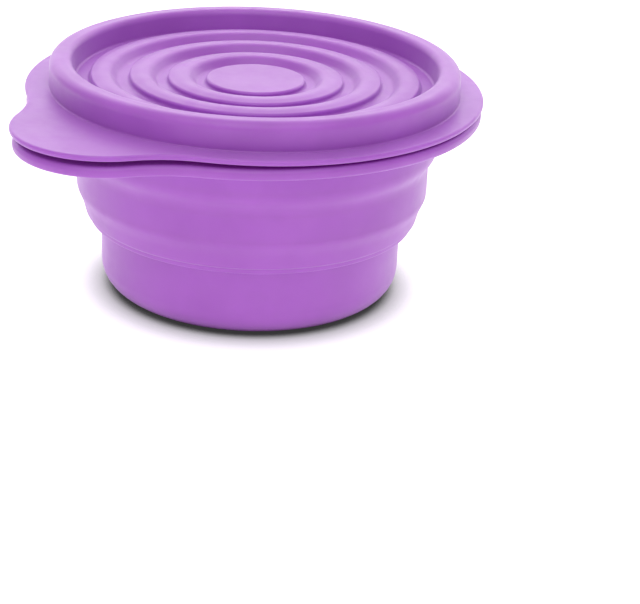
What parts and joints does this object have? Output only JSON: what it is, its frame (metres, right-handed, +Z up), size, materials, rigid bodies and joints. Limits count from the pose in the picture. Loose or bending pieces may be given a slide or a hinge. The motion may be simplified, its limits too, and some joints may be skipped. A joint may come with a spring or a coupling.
{
  "type": "collapsible bowl",
  "caption": "Round collapsible silicone bowl with a folding wall, a brim with a pull tab, and a ribbed lid that fits over its lip.",
  "frame": {"origin": "centre of the base's underside, on the surface that the bowl stands on", "axes": "+Z up along the bowl's axis; the pull tabs point along -Y"},
  "size_m": [0.15, 0.1692, 0.0782],
  "materials": {
    "bowl_silicone": "satin moulded silicone, purple",
    "lid_silicone": "satin moulded silicone, purple"
  },
  "bodies": {
    "base": {"base_cup": "bowl_silicone"},
    "band": {"middle_band": "bowl_silicone", "lower_fold": "bowl_silicone"},
    "rim": {"bowl_rim": "bowl_silicone", "upper_fold": "bowl_silicone"},
    "lid": {"lid": "lid_silicone"}
  },
  "joints": [
    {"name": "lower_collapse", "type": "slide", "parent": "base", "child": "band", "axis": [0, 0, -1], "range_m": [0, 0.0294], "deforming": ["lower_fold"]},
    {"name": "upper_collapse", "type": "slide", "parent": "band", "child": "rim", "axis": [0, 0, -1], "range_m": [0, 0.017], "deforming": ["upper_fold"]},
    {"name": "lid_lift", "type": "slide", "parent": "rim", "child": "lid", "axis": [0, 0, 1], "range_m": [0, 0.07]}
  ]
}
